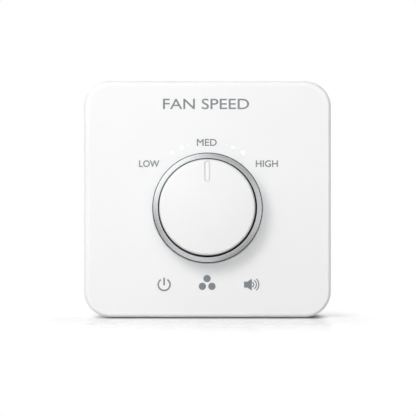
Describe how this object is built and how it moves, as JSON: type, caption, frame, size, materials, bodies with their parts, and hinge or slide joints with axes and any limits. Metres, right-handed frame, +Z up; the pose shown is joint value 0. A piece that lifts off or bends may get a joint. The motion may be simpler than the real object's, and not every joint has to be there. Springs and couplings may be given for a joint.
{
  "type": "wall-mounted fan speed controller",
  "caption": "Square white wall control with rounded corners and a round turning knob in a metal ring; a cover snapped on a wall base encloses two boards and a rotary potentiometer.",
  "frame": {"origin": "middle of the housing's outline, on the back face that lies against the wall", "axes": "+Z up the wall, +X to the right as seen by a person facing the knob, +Y into the wall, so the knob points towards -Y"},
  "size_m": [0.086, 0.038, 0.0822],
  "materials": {
    "cover_white": "moulded white plastic, fine satin grain",
    "base_white": "moulded off-white plastic",
    "cap_white": "smooth moulded white plastic",
    "ring_aluminium": "turned with fine concentric lines, clear anodised",
    "carrier_black": "moulded black plastic",
    "pointer_pale": "smooth pale grey plastic",
    "guide_opal": "opal acrylic, white where it shows",
    "board_green": "glass-fibre board with green solder mask",
    "steel": "zinc-plated steel",
    "tinned": "tinned contact metal",
    "brass": "bright turned brass",
    "terminal_grey": "moulded grey-green polyamide",
    "sink_aluminium": "extruded, natural finish",
    "device_black": "moulded black epoxy",
    "ferrite_grey": "pressed and sintered ferrite, dark grey",
    "wire_copper": "enamelled copper wire",
    "suppressor_yellow": "moulded yellow case",
    "can_sleeve": "shrunk dark blue sleeve",
    "fuse_brown": "moulded brown case",
    "varistor_blue": "dipped blue epoxy",
    "connector_black": "moulded black polyamide",
    "pad_rubber": "conductive silicone rubber",
    "lamp_white": "moulded clear epoxy",
    "die_cast_zinc": "die-cast zinc",
    "wafer_brown": "phenolic board",
    "track_carbon": "printed carbon",
    "rotor_natural": "natural acetal",
    "spring_bronze": "phosphor bronze strip"
  },
  "bodies": {
    "housing": {"wall_base": "base_white", "front_cover": "cover_white", "light_guide": "guide_opal", "power_board": "board_green", "control_board": "board_green", "power_board_screws": "steel", "control_board_screws": "steel", "terminal_block": "terminal_grey", "terminal_cages": "brass", "terminal_screws": "steel", "heat_sink": "sink_aluminium", "triac": "device_black", "triac_screw": "steel", "choke_core": "ferrite_grey", "choke_winding": "wire_copper", "suppression_capacitor": "suppressor_yellow", "smoothing_capacitors": "can_sleeve", "supply_module": "device_black", "fuse": "fuse_brown", "varistor": "varistor_blue", "link_socket": "connector_black", "link_header": "connector_black", "controller_chip": "device_black", "sounder": "connector_black", "touch_pads": "pad_rubber", "speed_lamps": "lamp_white", "pot_bushing": "die_cast_zinc", "pot_can": "steel", "pot_wafer": "wafer_brown", "pot_track": "track_carbon", "pot_legs": "tinned", "pot_washer": "steel", "pot_nut": "steel"},
    "knob": {"pot_shaft": "steel", "shaft_clip": "steel", "pot_rotor": "rotor_natural", "pot_wiper": "spring_bronze", "knob_carrier": "carrier_black", "grip_spring": "spring_bronze", "knob_ring": "ring_aluminium", "knob_cap": "cap_white", "pointer_inlay": "pointer_pale"}
  },
  "joints": [
    {"name": "knob_turn", "type": "hinge", "parent": "housing", "child": "knob", "pos_m": [0, -0.0282, -0.0032], "axis": [0, 1, 0], "range_deg": [-53, 53]}
  ]
}
